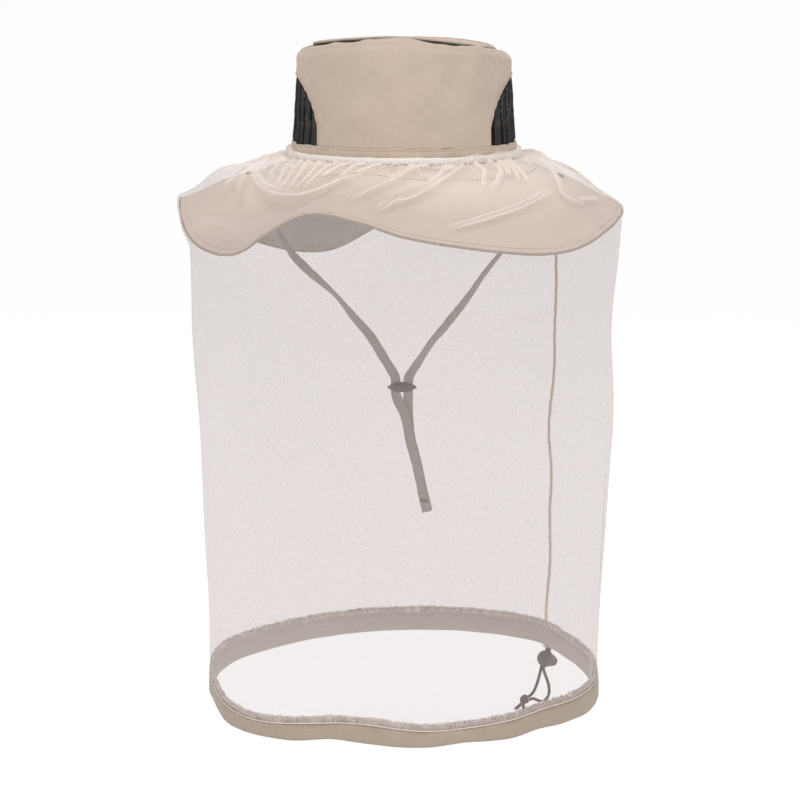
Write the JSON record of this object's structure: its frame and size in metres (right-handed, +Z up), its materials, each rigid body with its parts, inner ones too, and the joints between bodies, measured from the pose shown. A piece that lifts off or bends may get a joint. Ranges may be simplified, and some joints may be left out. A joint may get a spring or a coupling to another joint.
{
  "type": "beekeeping veil",
  "caption": "Brimmed fabric hat with mesh vents and a sheer net hung round it from an elastic, with a drawcord hem and a chin strap.",
  "frame": {"origin": "centre of the oval head opening, at the level where the brim meets the crown", "axes": "+Z up through the crown, -Y towards the front of the hat, +X to the viewer's right from the front"},
  "size_m": [0.3463, 0.3788, 0.5615],
  "materials": {
    "crown_fabric": "tan plain-weave polyester, matt, lightly creased",
    "vent_mesh": "black warp-knit mesh, pleated",
    "sweatband": "soft pale cotton tape",
    "brim_fabric": "tan plain-weave polyester, matt",
    "interlining": "stiff pale non-woven",
    "binding": "narrow rolled edge, darker than the brim",
    "elastic": "white braided elastic",
    "net": "sheer pale fine-mesh netting, slight sheen",
    "seam_thread": "beige overlock thread, fuzzy",
    "hem_fabric": "tan plain-weave casing, matt",
    "drawcord": "dark grey braided cord",
    "lock_plastic": "moulded dark grey plastic",
    "spring_steel": "bright wire",
    "strap_tape": "grey-beige woven tape with a ribbed face",
    "bar_tack": "dense dark thread",
    "slider_plastic": "moulded dark plastic",
    "stud_metal": "dark lacquered snap stud"
  },
  "bodies": {
    "hat": {"crown_front_panel": "crown_fabric", "crown_back_panel": "crown_fabric", "crown_top_panel": "crown_fabric", "crown_band": "crown_fabric", "crown_top_vent": "vent_mesh", "side_vent_left": "vent_mesh", "side_vent_right": "vent_mesh", "sweatband": "sweatband", "brim_upper": "brim_fabric", "brim_lower": "brim_fabric", "brim_interlining": "interlining", "brim_edge_binding": "binding", "veil_elastic": "elastic", "veil_gathers": "net", "veil_net_top": "net", "veil_net_body": "net", "veil_side_seam": "seam_thread", "hem_overlock": "seam_thread", "cord_exit": "seam_thread", "hem_casing": "hem_fabric", "hem_drawcord": "drawcord", "drawcord_upper_a": "drawcord", "drawcord_upper_b": "drawcord", "drawcord_lower_a": "drawcord", "drawcord_lower_b": "drawcord", "drawcord_knot": "drawcord", "chin_strap_left": "strap_tape", "chin_strap_right": "strap_tape", "chin_tail_left": "strap_tape", "chin_tail_right": "strap_tape", "chin_tail_stitch": "bar_tack", "strap_stud_left": "stud_metal", "strap_stud_right": "stud_metal", "strap_socket_left": "stud_metal", "strap_socket_right": "stud_metal"},
    "chin_slider": {"chin_slider": "slider_plastic"},
    "cord_lock": {"cord_lock_body": "lock_plastic", "cord_lock_spring": "spring_steel"},
    "lock_plunger": {"cord_lock_plunger": "lock_plastic"}
  },
  "joints": [
    {"name": "chin_slider_slide", "type": "slide", "parent": "hat", "child": "chin_slider", "axis": [0, 0, 1], "range_m": [-0.06, 0.05], "deforming": ["chin_strap_left", "chin_strap_right", "chin_tail_left", "chin_tail_right"]},
    {"name": "cord_lock_slide", "type": "slide", "parent": "hat", "child": "cord_lock", "axis": [-0.3041, -0.2579, -0.9171], "range_m": [0, 0.02], "deforming": ["drawcord_upper_a", "drawcord_upper_b", "drawcord_lower_a", "drawcord_lower_b"]},
    {"name": "lock_plunger_press", "type": "slide", "parent": "cord_lock", "child": "lock_plunger", "axis": [-0.6994, -0.5931, 0.3987], "range_m": [0, 0.003], "stiffness_N_per_m": 900, "springref_m": -0.0015, "deforming": ["cord_lock_spring"]}
  ]
}
